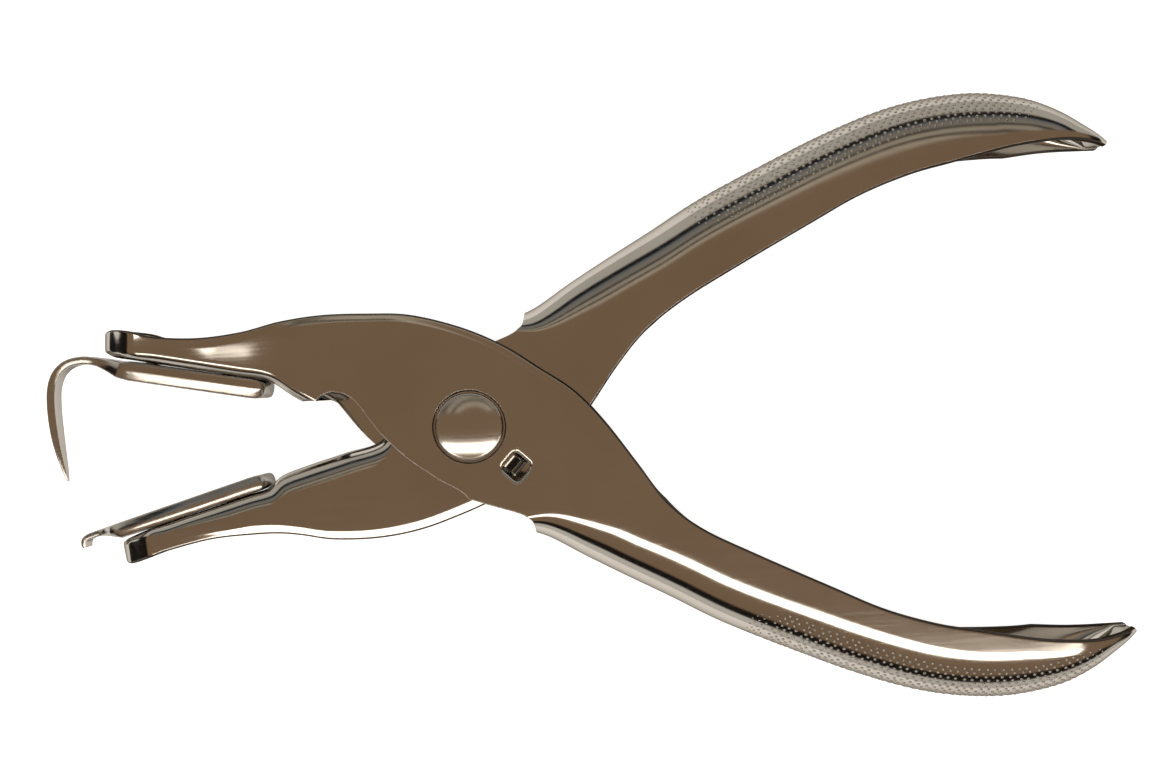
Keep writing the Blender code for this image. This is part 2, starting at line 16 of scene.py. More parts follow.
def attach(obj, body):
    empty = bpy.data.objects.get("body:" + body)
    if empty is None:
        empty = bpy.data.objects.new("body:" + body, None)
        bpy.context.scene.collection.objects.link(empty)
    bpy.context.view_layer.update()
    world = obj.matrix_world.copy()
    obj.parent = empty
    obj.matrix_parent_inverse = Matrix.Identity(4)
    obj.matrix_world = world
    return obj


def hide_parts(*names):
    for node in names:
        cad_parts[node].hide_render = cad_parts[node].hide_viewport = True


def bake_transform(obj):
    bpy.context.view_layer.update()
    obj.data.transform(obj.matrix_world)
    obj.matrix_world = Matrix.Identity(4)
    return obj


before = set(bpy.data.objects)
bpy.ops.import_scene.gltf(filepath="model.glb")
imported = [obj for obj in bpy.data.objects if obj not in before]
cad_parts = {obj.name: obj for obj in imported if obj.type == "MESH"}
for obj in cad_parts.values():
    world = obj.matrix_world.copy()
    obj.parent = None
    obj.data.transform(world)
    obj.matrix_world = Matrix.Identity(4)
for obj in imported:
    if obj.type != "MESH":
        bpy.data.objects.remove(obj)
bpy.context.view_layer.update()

MM = 0.001

# ---------------------------------------------------------------- lever sizes
SHEET = 1.2                 # thickness of the bent sheet
GAP = 0.3                   # play that the frame's pieces keep
OUTER_HALF = 6.0            # half widths of the levers, from the middle to a plate's outer face
INNER_HALF = OUTER_HALF - SHEET - GAP
JAW_HALF = 4.5
NOSE_HALF = 3.9
NOSE_FROM = -44.0           # where a jaw starts to draw in towards its nose
NOSE_LENGTH = 10.0
MID_Z = OUTER_HALF          # the levers' middle plane over the table
TOP = OUTER_HALF * 2
BELOW = -1.0                # reach of a cutter below and above the levers
ABOVE = TOP + 1.0

# Stations of a lever: spine x, y, open edge x, y, corner radius, end width factor.
JAW_OUTER = (
    (-57.0, 14.9, -56.8, 17.9, 0.7, 0.13),
    (-56.2, 14.5, -56.0, 18.2, 1.0, 0.36),
    (-54.9, 14.0, -54.6, 18.3, 1.2, 0.57),
    (-51.8, 13.4, -51.4, 17.8, 1.4, 0.98),
    (-48.1, 12.6, -47.7, 16.7, 1.8, 1.00),
    (-41.5, 11.2, -40.7, 16.1, 1.8, 1.00),
    (-35.5, 9.9, -34.0, 16.6, 1.8, 1.00),
    (-30.7, 8.8, -28.0, 17.8, 1.8, 1.00),
    (-26.9, 6.2, -21.5, 18.4, 1.8, 1.00),
    (-23.4, 4.0, -14.5, 18.2, 1.8, 1.00),
    (-20.8, 0.8, -8.0, 17.6, 1.8, 1.00),
    (-15.5, -6.8, -0.5, 15.3, 1.8, 1.00),
    (-8.0, -12.0, 5.8, 12.2, 1.8, 1.00),
    (-0.5, -15.2, 11.2, 8.4, 1.8, 1.00),
)
JAW_INNER = (
    (-56.0, 14.9, -55.6, 17.9, 0.7, 0.13),
    (-55.2, 14.4, -54.9, 18.2, 1.0, 0.36),
    (-53.9, 13.9, -53.6, 18.1, 1.2, 0.58),
    (-50.9, 12.9, -50.5, 17.2, 1.4, 0.98),
    (-48.1, 12.1, -47.7, 16.3, 1.8, 1.00),
    (-41.5, 10.3, -40.7, 14.9, 2.0, 1.00),
    (-35.5, 8.6, -34.0, 14.6, 2.2, 1.00),
    (-32.2, 7.7, -30.0, 14.7, 2.4, 1.00),
    (-29.9, 5.9, -26.6, 15.2, 2.7, 1.00),
    (-26.0, 4.6, -22.0, 16.1, 2.9, 1.00),
    (-20.0, 3.0, -15.5, 16.3, 2.9, 1.00),
    (-14.0, 1.3, -9.5, 15.6, 2.6, 1.00),
    (-10.5, -4.0, -4.0, 14.1, 2.0, 1.00),
    (-7.5, -11.5, 3.1, 11.4, 1.7, 1.00),
    (-0.5, -15.2, 9.5, 7.6, 1.7, 1.00),
)
NECK_OUTER = (
    (5.2, -16.2, 16.3, 4.6, 2.4, 1.00),
    (10.2, -17.6, 20.8, -0.6, 4.2, 1.00),
    (16.6, -21.5, 25.8, -7.9, 5.0, 1.00),
    (22.5, -24.9, 29.4, -13.2, 5.2, 1.00),
    (29.2, -28.6, 34.5, -17.6, 5.4, 1.00),
)
NECK_INNER = (
    (5.2, -16.2, 14.2, 3.2, 2.4, 1.00),
    (10.2, -17.6, 18.2, -1.4, 4.2, 1.00),
    (16.6, -21.5, 23.2, -8.0, 5.0, 1.00),
    (22.5, -24.9, 27.8, -13.0, 5.2, 1.00),
    (29.2, -28.6, 33.8, -17.3, 5.4, 1.00),
)
HANDLE = (
    (37.5, -33.3, 42.3, -21.9, 5.4, 1.00),
    (49.4, -38.8, 53.7, -27.7, 5.4, 1.00),
    (57.8, -42.4, 61.6, -31.6, 5.4, 1.00),
    (66.1, -45.3, 69.4, -34.3, 5.4, 1.00),
    (73.2, -46.8, 75.8, -35.7, 5.4, 1.00),
    (80.0, -47.3, 81.5, -36.9, 5.4, 1.00),
    (85.2, -46.8, 86.0, -37.7, 5.2, 1.00),
    (89.9, -45.6, 90.0, -38.1, 4.8, 0.98),
    (94.0, -43.6, 93.4, -38.3, 4.2, 0.92),
    (97.2, -41.4, 96.4, -38.2, 3.0, 0.78),
    (99.8, -39.6, 99.2, -37.9, 1.6, 0.58),
    (101.6, -38.4, 101.1, -37.6, 0.8, 0.36),
)
# How far the rear plate's open edge stands back from the front one's, over x.
REAR_SET_BACK = ((30.0, 0.0), (38.0, 1.2), (52.0, 1.9), (64.0, 2.4), (76.0, 2.0), (88.0, 0.0))

END_HOLLOW = 0.3            # hollow left where an end is drawn shut
LEAST_HALF = 0.5            # half width of the narrowest hollow
LEAST_RADIUS = 0.35         # of a corner
CORNER_DEPTH_SHARE = 0.8    # most of a section's depth that a corner takes
CORNER_WIDTH_SHARE = 0.96   # most of its half width
NOSE_SHUT = (1.5, 2.2)      # design stations between which the nose opens
TIP_SHUT = (1.3, 0.5)       # the same for a handle's tip, counted from its end

# Line on the outer jaw above which its plate stands at full width.
SHOULDER = ((-46.0, 19.0), (-39.3, 14.4), (-27.0, 13.2), (-17.3, 8.4), (-13.0, 1.0), (-10.0, -9.0))
SHOULDER_BLEND = 10.5       # width of that sloping step
FADE_START = 22.6           # radius from the rivet within which the plate is at full width
FADE_END = 36.0
JOGGLE_START = 22.0         # radius from the rivet where the inner lever starts to widen
JOGGLE_END = 46.0

# Where the spine is cut away so that the levers can cross. The outer lever's front
# plate is relieved further than its rear one.
NOTCH_THROUGH = (
    (-28.0, -4.0), (-26.6, 5.1), (-24.3, 5.8), (-22.3, 5.0), (-20.9, 3.1),
    (-18.9, 0.3), (-16.8, -2.0), (-13.8, -4.6),
    (-10.1, -6.8), (-5.4, -8.8), (-1.9, -10.5), (1.8, -11.9), (7.2, -13.7), (9.0, -15.1),
    (9.3, -20.0), (-12.1, -20.0), (-18.1, -12.0),
)
NOTCH_FRONT = (
    (-26.04, -4.75), (-23.34, 5.05), (-22.24, 6.15), (-20.64, 6.65), (-18.84, 6.25), (-17.04, 5.05),
    (-13.44, -0.45),
    (-9.54, -4.45), (-5.14, -7.75), (-1.74, -9.75), (0.36, -12.25), (-7.84, -14.75),
)
NOTCH_SPLIT_Z = 1.5
NOTCH_INNER = (
    (-15.5, -2.6), (-10.1, 0.3), (-8.0, -2.4), (-6.8, -6.2), (-5.3, -8.0), (-1.8, -10.2),
    (1.9, -11.9), (7.3, -13.8), (9.1, -15.3), (9.4, -20.0), (-12.0, -20.0),
)

LOFT_STEPS = 8              # stations of the loft from one design station to the next
FLAT_STEPS = 3              # points of a section on the spine, corner, plate and rim
CORNER_STEPS = 16
WALL_STEPS = 16
RIM_STEPS = 4
HANDLE_ROUND = 1.5          # a handle's corner radius is this many times larger along the plate
HANDLE_SWELL = 0.1          # and larger by this share over the spine
HANDLE_ROUND_FROM = (6.0, 20.0)     # x over which that comes in
JAW_ROUND = 1.5             # the same along the plate of the inner lever's jaw
JAW_ROUND_IN = (-46.0, -38.0)       # x over which it comes in and goes out
JAW_ROUND_OUT = (-16.0, -8.0)
RIM_DEPTH = 0.26            # how far back from the open edge the rolled rim starts
RIM_DROP = 0.45             # how far it falls there
RIM_INNER = 0.3             # depth and flare of the rim on the plate's inner face
RIM_SHARE = 0.6             # most of a plate's depth that a rim takes
RIM_DROP_SHARE = 0.4        # most of a section's half width that it falls
FLARE_FROM = 0.8            # end width factor above which the inner rim flares
BEVEL_WIDTH = 1.3           # sloping margin along the open edge of a jaw's plates
BEVEL_TILT = math.radians(8.0)
BEVEL_SHARE = 0.5           # most of a plate's depth that the margin takes
BEVEL_EASE = 3.0            # the slope is full after a third of the margin
BEVEL_STEPS = 7
BEVEL_START = (-50.0, -36.0)    # over x, from the plain noses to the jaws
BEVEL_FADE = (2.0, 14.0)        # and from the jaws to the plain handles

# Knurled grip: staggered raised dots on the spine of each handle.
KNURL_PITCH = 1.3
KNURL_ROW = 0.65
KNURL_RADIUS = 0.30
KNURL_HEIGHT = 0.07
KNURL_SINK = 0.04
KNURL_STATION = 14          # design station from which lengths along the spine are counted
KNURL_STEPS = 24            # stations from one design station to the next
KNURL_FROM = 39.5
KNURL_TO = 98.0
KNURL_AROUND = 9.0          # reach on each side of the spine's middle
KNURL_NARROW = 0.25         # how much narrower the grip starts and ends
KNURL_SMALL = 0.45          # how much smaller its first and last dots are
KNURL_FADE_IN = 8.0         # rows over which it grows, and over which it ends
KNURL_FADE_OUT = 10.0
PLATE_LEAN = 0.05           # a dot that leans less than this stands on a side plate
DOT_SIDES = 8
# Radius factor and height of a dot's rings, from its sunk foot up.
DOT_PROFILE = ((1.0, -KNURL_SINK), (0.82, 0.45 * KNURL_HEIGHT), (0.45, 0.88 * KNURL_HEIGHT))

# ---------------------------------------------------------------- other pieces
SHANK_R = 3.0
HEAD_R = 5.2
HEAD_TOP = 13.1
HEAD_RIM_TOP = 12.38        # where the head's dome starts
HEAD_EDGE = 0.4             # rounding of the head's edge
HEAD_SEAT = 0.1             # the head's underside over the groove's floor
HEAD_FOOT = 0.11            # height of the small curve under the edge
EDGE_STEPS = 5
DOME_STEPS = 20
GROOVE_WIDTH = 0.4          # dished ring round the head
GROOVE_DEPTH = 0.35
TAIL_R = 4.2
TAIL_CHAMFER = (0.25, 0.05)     # width and height of the tail's chamfered edge
BORE_TURN = 4.0             # keeps the bore's facets off the plates' own corners
WIRE_R = 0.45
COIL_R = 4.8
COIL_TURNS = 3              # whole turns beyond the angle between the two legs
TURN_STEPS = 48
INNER_LEG_STEPS = 12
OUTER_LEG_STEPS = 8
TIP_STEPS = 4
WIRE_SIDES = 12
COIL_FIRST_Z = MID_Z - INNER_HALF + SHEET + GAP + WIRE_R
COIL_LAST_Z = MID_Z + INNER_HALF - SHEET - GAP - WIRE_R - 0.1
SPRING_START_ANGLE = 122.5
SPRING_END_ANGLE = 242.3
INNER_LEG = 16.2            # lengths of the spring's legs
OUTER_LEG = 8.8
OUTER_LEG_TIP_Z = MID_Z + INNER_HALF - 0.3

CUT_PAST = 0.2              # how far the window's and the slot's cutters pass a plate's inner face
WINDOW_ANGLE = -44.0        # the window lies this way from the rivet, and so far
WINDOW_RADIUS = 9.48
WINDOW_SIDE = 3.3
WINDOW_CORNER = 0.7
WINDOW_RIM = (              # how much wider the window is, over height from the plate's face
    (0.0, -SHEET - CUT_PAST), (0.0, -0.55), (0.10, -0.28), (0.32, -0.09), (0.62, 0.0), (0.70, 0.3),
)
TAB_WIDTH = 2.7
TAB_THICK = 0.9
TAB_STRAIGHT = 2.3          # length past its bend
TAB_SLOPE = 35.0
TAB_ROOT = 0.25             # how far the tab starts inside the window's edge
TAB_SINK = 0.12             # its face under the plate's
TAB_BEND = 0.9              # radius of its bend
TAB_BEND_STEPS = 8
TAB_TRIM = 0.22             # chamfer along its edges
SLOT_INNER_R = 8.2          # the inner lever's curved slot for the spring's leg
SLOT_OUTER_R = 12.0
SLOT_START = -64.0
SLOT_END = -15.0
SLOT_STEPS = 40

# Start and direction of the flat that each bar lies on.
OUTER_BITE = ((-31.4, 9.04), (-0.9794, 0.2019))
INNER_BITE = ((-32.1, -7.68), (-0.9635, -0.2677))
HOOK_BAR_THICK = 2.8
HOOK_BAR_LENGTH = 21.1
TONGUE_BAR_THICK = 2.2
TONGUE_BAR_LENGTH = 23.6
BAR_WIDTH = 7.0
BAR_END = ((0.0, 0.35), (0.08, 0.52), (0.3, 0.72), (0.7, 0.88), (1.3, 0.97), (2.2, 1.0))    # reach, size
BAR_END_WIDTH = 0.55        # width factor that the rounded end grows from
SEAT = 0.05                 # a bar all but touches the jaw
STRAP_THICK = 1.25
STRAP_WIDTH = 2.8
HOOK_PATH = (               # x, y, thickness and width from the bar's end to the hook's point
    (-54.1, 12.0, 2.5, 6.2), (-56.3, 12.95, 1.9, 4.2), (-58.4, 13.65, STRAP_THICK + 0.1, 3.0),
    (-60.6, 13.95, STRAP_THICK, STRAP_WIDTH), (-62.9, 13.5, STRAP_THICK, STRAP_WIDTH),
    (-64.6, 12.1, STRAP_THICK, STRAP_WIDTH), (-65.5, 9.8, STRAP_THICK, STRAP_WIDTH),
    (-65.7, 6.6, STRAP_THICK, STRAP_WIDTH), (-65.5, 3.0, 1.2, 2.6), (-65.1, -0.2, 0.95, 2.1),
    (-64.6, -3.0, 0.6, 1.3), (-64.25, -4.9, 0.22, 0.5),
)
TONGUE_PATH = (             # reach along the bite face, thickness, width and how far it dips
    (25.3, 1.7, 5.4, 0.0), (26.9, 1.2, 3.4, 0.0), (28.1, 1.0, 2.8, 0.0), (29.5, 0.95, 2.7, 0.05),
    (30.3, 0.9, 2.6, 0.35), (30.65, 0.8, 2.5, 1.0), (30.7, 0.6, 2.3, 1.7),
)
HOOK_STEPS = 8
TONGUE_STEPS = 5
RIVET_STATIONS = (6.6, 18.8)
SMALL_SHANK_R = 1.0
SMALL_TAIL_R = 1.5
SMALL_TAIL_DEPTH = 0.6

# A bar's top falls off in a worn facet: share of the thickness and tilt.
PLAIN = (0.15, math.radians(8.0))
HOOK_FACET = (0.50, math.radians(16.0))
TONGUE_BACK = (0.30, math.radians(16.0))
TONGUE_BITE = (0.48, math.radians(22.0))
BAR_TOP_STEPS = 12
BAR_CORNER_STEPS = 5
BAR_EDGE = 0.30             # rounding of its long edges
EDGE_SHARE = 0.45           # most of a thin section's half size that the rounding takes
FACET_SOFT = 0.10           # softness of the facet's start, as a share of the half thickness
FACET_SHARE = 0.6           # most of the half width that a facet takes
STRAIGHT_PAST = 20.0        # past this the soft start is a straight line


# ---------------------------------------------------------------- finishes
def node(tree, kind, **settings):
    """A new shader node with its settings."""
    made = tree.nodes.new(kind)
    for name, value in settings.items():
        setattr(made, name, value)
    return made


def ramp(tree, stops):
    """A colour ramp through (place, colour) stops."""
    made = node(tree, "ShaderNodeValToRGB")
    points = made.color_ramp.elements
    while len(points) < len(stops):
        points.new(0.5)
    for point, (place, colour) in zip(points, stops):
        point.position = place
        point.color = (*colour, 1.0)
    return made


def metal(name, colour, worn, rough, scratch=0.05, bump=0.02, edge=0.00022):
    """Plated or plain steel: uneven tone, fine scratches, a slightly rippled surface, soft edges."""
    made = bpy.data.materials.new(name)
    made.use_nodes = True
    tree = made.node_tree
    link = tree.links.new
    shader = tree.nodes["Principled BSDF"]
    shader.inputs["Metallic"].default_value = 1.0
    shader.inputs["Specular Tint"].default_value = (0.30, 0.29, 0.28, 1.0)
    place = node(tree, "ShaderNodeTexCoord")

    patches = node(tree, "ShaderNodeTexNoise")
    patches.inputs["Scale"].default_value = 70.0
    patches.inputs["Detail"].default_value = 4.0
    link(place.outputs["Object"], patches.inputs["Vector"])
    tone = ramp(tree, ((0.30, worn), (0.62, colour)))
    link(patches.outputs["Fac"], tone.inputs["Fac"])
    link(tone.outputs["Color"], shader.inputs["Base Color"])

    stretch = node(tree, "ShaderNodeMapping")
    stretch.inputs["Rotation"].default_value = (0.0, 0.0, math.radians(24.0))
    stretch.inputs["Scale"].default_value = (60.0, 2400.0, 900.0)
    link(place.outputs["Object"], stretch.inputs["Vector"])
    lines = node(tree, "ShaderNodeTexNoise")
    lines.inputs["Scale"].default_value = 1.0
    lines.inputs["Detail"].default_value = 3.0
    link(stretch.outputs["Vector"], lines.inputs["Vector"])
    spread = node(tree, "ShaderNodeMapRange")
    spread.inputs["From Min"].default_value = 0.45
    spread.inputs["From Max"].default_value = 0.80
    spread.inputs["To Min"].default_value = rough
    spread.inputs["To Max"].default_value = rough + scratch
    link(lines.outputs["Fac"], spread.inputs["Value"])
    link(spread.outputs["Result"], shader.inputs["Roughness"])

    ripple = node(tree, "ShaderNodeTexNoise")
    ripple.inputs["Scale"].default_value = 260.0
    ripple.inputs["Detail"].default_value = 2.0
    link(place.outputs["Object"], ripple.inputs["Vector"])
    soft = node(tree, "ShaderNodeBevel", samples=4)
    soft.inputs["Radius"].default_value = edge
    relief = node(tree, "ShaderNodeBump")
    relief.inputs["Strength"].default_value = bump
    relief.inputs["Distance"].default_value = 0.0002
    link(ripple.outputs["Fac"], relief.inputs["Height"])
    link(soft.outputs["Normal"], relief.inputs["Normal"])
    link(relief.outputs["Normal"], shader.inputs["Normal"])
    return made


NICKEL = metal("nickel_plate", (0.455, 0.425, 0.380), (0.430, 0.395, 0.350), 0.09)
NICKEL_INNER = metal("nickel_plate_inner", (0.450, 0.420, 0.375), (0.425, 0.390, 0.345), 0.10)
NICKEL_RIVET = metal("nickel_rivet", (0.470, 0.440, 0.400), (0.430, 0.395, 0.350), 0.13)
NICKEL_BLADE = metal("nickel_blade", (0.455, 0.430, 0.390), (0.385, 0.350, 0.305), 0.13, 0.12, 0.10, 0.0003)
# Near black finish of the sheet's open rims and cut edges: painted shade for the dark lines along them,
# darker than bare sheared steel is.
PAINTED_EDGE_SHADE = metal("painted_edge_shade", (0.06, 0.052, 0.045), (0.03, 0.026, 0.022), 0.30, 0.15, 0.15, 0.0001)
PLAIN_STEEL = metal("plain_steel", (0.50, 0.48, 0.45), (0.40, 0.38, 0.35), 0.24, 0.12, 0.06)
SPRING_WIRE = metal("spring_wire", (0.38, 0.37, 0.36), (0.28, 0.26, 0.25), 0.24, 0.15, 0.04, 0.0001)


# ---------------------------------------------------------------- mesh helpers
def add_object(name, mesh, finish=None):
    item = bpy.data.objects.new(name, mesh)
    bpy.context.scene.collection.objects.link(item)
    if finish is not None:
        mesh.materials.append(finish)
    return item


def mesh_from(bm, name):
    bmesh.ops.recalc_face_normals(bm, faces=bm.faces)
    mesh = bpy.data.meshes.new(name)
    bm.to_mesh(mesh)
    bm.free()
    return mesh


def shade(item, angle=32.0):
    item.data.shade_smooth()
    item.data.set_sharp_from_angle(angle=math.radians(angle))


def cut(item, cutters):
    """Take every cutter away from the item, keep the result as its mesh and drop the cutters."""
    for other in cutters:
        step = item.modifiers.new(other.name, "BOOLEAN")
        step.object = other
        step.solver = "EXACT"
    graph = bpy.context.evaluated_depsgraph_get()
    done = bpy.data.meshes.new_from_object(item.evaluated_get(graph))
    item.modifiers.clear()
    item.data = done
    for other in cutters:
        bpy.data.objects.remove(other, do_unlink=True)


def smooth_rows(rows, steps):
    """Catmull-Rom stations through the design rows."""
    out = []
    for index in range(len(rows) - 1):
        before = rows[max(index - 1, 0)]
        here = rows[index]
        after = rows[index + 1]
        later = rows[min(index + 2, len(rows) - 1)]
        for step in range(steps):
            t = step / steps
            out.append(tuple(
                0.5 * (2 * b + (c - a) * t + (2 * a - 5 * b + 4 * c - d) * t * t
                       + (3 * b - a - 3 * c + d) * t ** 3)
                for a, b, c, d in zip(before, here, after, later)))
    out.append(rows[-1])
    return out


def smoothstep(value):
    value = min(max(value, 0.0), 1.0)
    return value * value * (3.0 - 2.0 * value)


def between(value, low, high):
    """Smooth share of the way from low to high."""
    return smoothstep((value - low) / (high - low))


def line_height(points, x):
    """Height of a broken line over x."""
    if x <= points[0][0]:
        return points[0][1]
    for (x0, y0), (x1, y1) in zip(points, points[1:]):
        if x <= x1:
            return y0 + (y1 - y0) * (x - x0) / (x1 - x0)
    return points[-1][1]


def nose_half(x):
    """Half width of a jaw, which draws in towards its nose."""
    return JAW_HALF + (NOSE_HALF - JAW_HALF) * smoothstep((NOSE_FROM - x) / NOSE_LENGTH)


def outer_half(x, y):
    """Half width of the outer lever: full at the rivet and the handle, narrow below the shoulder."""
    if x > 0.0:
        return OUTER_HALF
    narrow = smoothstep((line_height(SHOULDER, x) - y) / SHOULDER_BLEND + 0.5)
    narrow *= between(math.hypot(x, y), FADE_START, FADE_END)
    return OUTER_HALF + (nose_half(x) - OUTER_HALF) * narrow


def inner_half(x, y):
    """Half width of the inner lever: between the outer one's plates, then out to the handle's width."""
    if x < 0.0:
        return min(INNER_HALF, nose_half(x))
    wide = between(math.hypot(x, y), JOGGLE_START, JOGGLE_END)
    return INNER_HALF + (OUTER_HALF - INNER_HALF) * wide


def add_vert(bm, x, y, z, mirror=1):
    """A vertex at a lever's plan place and a height over its middle plane."""
    return bm.verts.new((x * MM, y * mirror * MM, (MID_Z + z) * MM))


def join_rings(bm, rings, edges=()):
    """Skin of a row of rings and its two end faces; the strips listed in edges take the second finish."""
    for low, high in zip(rings, rings[1:]):
        for index in range(len(low)):
            after = (index + 1) % len(low)
            face = bm.faces.new((low[index], low[after], high[after], high[index]))
            face.material_index = int(index in edges)
    bm.faces.new(rings[0])
    bm.faces.new(reversed(rings[-1]))


# ---------------------------------------------------------------- levers
def corner_radii(row, half_at, inset):
    """Radii of the spine's corner at a station: along the plate and over the spine."""
    x, radius = row[0], row[4]
    on_handle = between(x, *HANDLE_ROUND_FROM)
    stretch = 1.0 + (HANDLE_ROUND - 1.0) * on_handle
    if half_at is inner_half:
        stretch += (JAW_ROUND - 1.0) * between(x, *JAW_ROUND_IN) * (1.0 - between(x, *JAW_ROUND_OUT))
    along = max(radius * stretch - inset, LEAST_RADIUS)
    over = max(radius * (1.0 + HANDLE_SWELL * on_handle) - inset, LEAST_RADIUS)
    return along, over


def corner_points(spine, across, half, along, over):
    """From the spine's middle to the end of its corner."""
    points = []
    for step in range(FLAT_STEPS):
        points.append((spine.x, spine.y, (half - over) * (step + 0.5) / (FLAT_STEPS + 0.5)))
    for step in range(CORNER_STEPS + 1):
        turn = math.radians(90.0) * step / CORNER_STEPS
        place = spine + across * (along * (1.0 - math.cos(turn)))
        points.append((place.x, place.y, half - over * (1.0 - math.sin(turn))))
    return points


def plate_points(spine, across, root, wall, slope, half_of):
    """Up a side plate from its root at the corner, with a sloping margin before the rim."""
    margin = min(BEVEL_WIDTH, wall * BEVEL_SHARE)
    level = wall - margin
    reaches = [level * step / WALL_STEPS for step in range(1, WALL_STEPS + 1)]
    reaches += [level + margin * step / BEVEL_STEPS for step in range(1, BEVEL_STEPS + 1)]
    points = []
    for reach in reaches:
        place = spine + across * (root + reach)
        past = max(reach - level, 0.0)
        drop = slope * past * smoothstep(past / margin * BEVEL_EASE)
        points.append((place.x, place.y, half_of(place) - drop))
    return points


def rim_points(spine, across, depth, size, edge):
    """The rolled rim: over its depth the face falls from the plate's edge by its drop."""
    rim_depth, rim_drop = size
    points = []
    for step in range(1, RIM_STEPS + 1):
        turn = math.radians(90.0) * step / RIM_STEPS
        place = spine + across * (depth - rim_depth * (1.0 - math.sin(turn)))
        points.append((place.x, place.y, edge - rim_drop * (1.0 - math.cos(turn))))
    return points


def half_section(row, half_at, inset, floor):
    """Points from the spine's middle round the corner and up one side plate to the rim.

    inset is 0 for the sheet's outer face and its thickness for the inner one, and floor
    is how far that face's spine stands inside.
    """
    share = row[5]
    spine = Vector(row[0:2])
    across = Vector(row[2:4]) - spine
    depth = across.length - floor
    across.normalize()
    spine += across * floor

    def half_of(place):
        return max(half_at(place.x, place.y) * share - inset, LEAST_HALF)

    along, over = corner_radii(row, half_at, inset)
    along = min(along, depth * CORNER_DEPTH_SHARE)
    half = half_of(spine + across * along)
    over = min(over, half * CORNER_WIDTH_SHARE)
    most_rim = (depth - along) * RIM_SHARE
    if inset == 0.0:
        rim = (min(RIM_DEPTH, most_rim), min(RIM_DROP, half * RIM_DROP_SHARE))
        slope = math.tan(BEVEL_TILT) * share
        slope *= between(row[0], *BEVEL_START) * (1.0 - between(row[0], *BEVEL_FADE))
    else:
        rim = (min(RIM_INNER, most_rim), -RIM_INNER * between(share, FLARE_FROM, 1.0))
        slope = 0.0
    points = corner_points(spine, across, half, along, over)
    points += plate_points(spine, across, along, depth - along - rim[0], slope, half_of)
    return points + rim_points(spine, across, depth, rim, points[-1][2])


def rear_row(row):
    """The same station with the open edge of the rear plate."""
    edge = Vector(row[2:4])
    towards = (Vector(row[0:2]) - edge).normalized()
    edge += towards * line_height(REAR_SET_BACK, edge.x)
    return (row[0], row[1], edge.x, edge.y, row[4], row[5])


def lever_ring(row, half_at, shut):
    """Closed outline of the bent sheet at one station; shut runs from 0, open, to 1."""
    faces = []
    for station in (row, rear_row(row)):
        depth = (Vector(station[2:4]) - Vector(station[0:2])).length
        floor = SHEET + (depth - END_HOLLOW - SHEET) * shut
        faces.append(half_section(station, half_at, 0.0, 0.0))
        faces.append(half_section(station, half_at, SHEET, floor))
    outside, inside, rear_outside, rear_inside = faces
    lower_out = [(x, y, -z) for x, y, z in reversed(rear_outside)]
    lower_in = [(x, y, -z) for x, y, z in rear_inside]
    return lower_out + outside + list(reversed(inside)) + lower_in


def lever_mesh(name, design, half_at, mirror):
    """Loft of the bent sheet; the strips of its open rims take the second finish, which is painted shade.
    """
    rows = smooth_rows(design, LOFT_STEPS)
    bm = bmesh.new()
    rings = []
    for index, row in enumerate(rows):
        station = index / LOFT_STEPS
        from_end = (len(rows) - 1 - index) / LOFT_STEPS
        shut = max(1.0 - between(station, *NOSE_SHUT), between(from_end, *TIP_SHUT))
        ring = lever_ring(row, half_at, shut)
        rings.append([add_vert(bm, x, y, z, mirror) for x, y, z in ring])
    quarter = len(rings[0]) // 4
    front = range(2 * quarter - 1 - RIM_STEPS, 2 * quarter + RIM_STEPS)
    rear = [index % (4 * quarter) for index in range(-1 - RIM_STEPS, RIM_STEPS)]
    join_rings(bm, rings, {*front, *rear})
    return mesh_from(bm, name)


def prism(name, outline, low, high, mirror=1, finish_slot=0):
    """Upright cutter over an outline; what it cuts shows the finish in that slot of the cut piece, which is
    the painted shade of the cut edges.
    """
    bm = bmesh.new()
    base = [bm.verts.new((x * MM, y * mirror * MM, low * MM)) for x, y in outline]
    face = bm.faces.new(base)
    grown = bmesh.ops.extrude_face_region(bm, geom=[face])
    lifted = [v for v in grown["geom"] if isinstance(v, bmesh.types.BMVert)]
    bmesh.ops.translate(bm, verts=lifted, vec=(0.0, 0.0, (high - low) * MM))
    for face in bm.faces:
        face.material_index = finish_slot
    item = add_object(name, mesh_from(bm, name))
    for _ in range(finish_slot + 1):
        item.data.materials.append(PAINTED_EDGE_SHADE)
    return item


def turned(name, profile, segments, finish=None):
    """A solid of revolution about local Z from (radius, height) points, axis to axis."""
    bm = bmesh.new()
    verts = [bm.verts.new((r * MM, 0.0, z * MM)) for r, z in profile]
    edges = [bm.edges.new(pair) for pair in zip(verts, verts[1:])]
    bmesh.ops.spin(bm, geom=verts + edges, cent=(0, 0, 0), axis=(0, 0, 1),
                   angle=math.tau, steps=segments, use_duplicate=False)
    bmesh.ops.remove_doubles(bm, verts=bm.verts, dist=0.000001)
    item = add_object(name, mesh_from(bm, name), finish)
    shade(item)
    return item


def rounded_outline(points, steps=4, share=0.3):
    """Cut each corner of a closed outline with a short curve."""
    out = []
    for index, here in enumerate(points):
        before = Vector(points[index - 1])
        after = Vector(points[(index + 1) % len(points)])
        middle = Vector(here)
        first = middle.lerp(before, share)
        last = middle.lerp(after, share)
        for step in range(steps + 1):
            t = step / steps
            place = first.lerp(middle, t).lerp(middle.lerp(last, t), t)
            out.append((place.x, place.y))
    return out


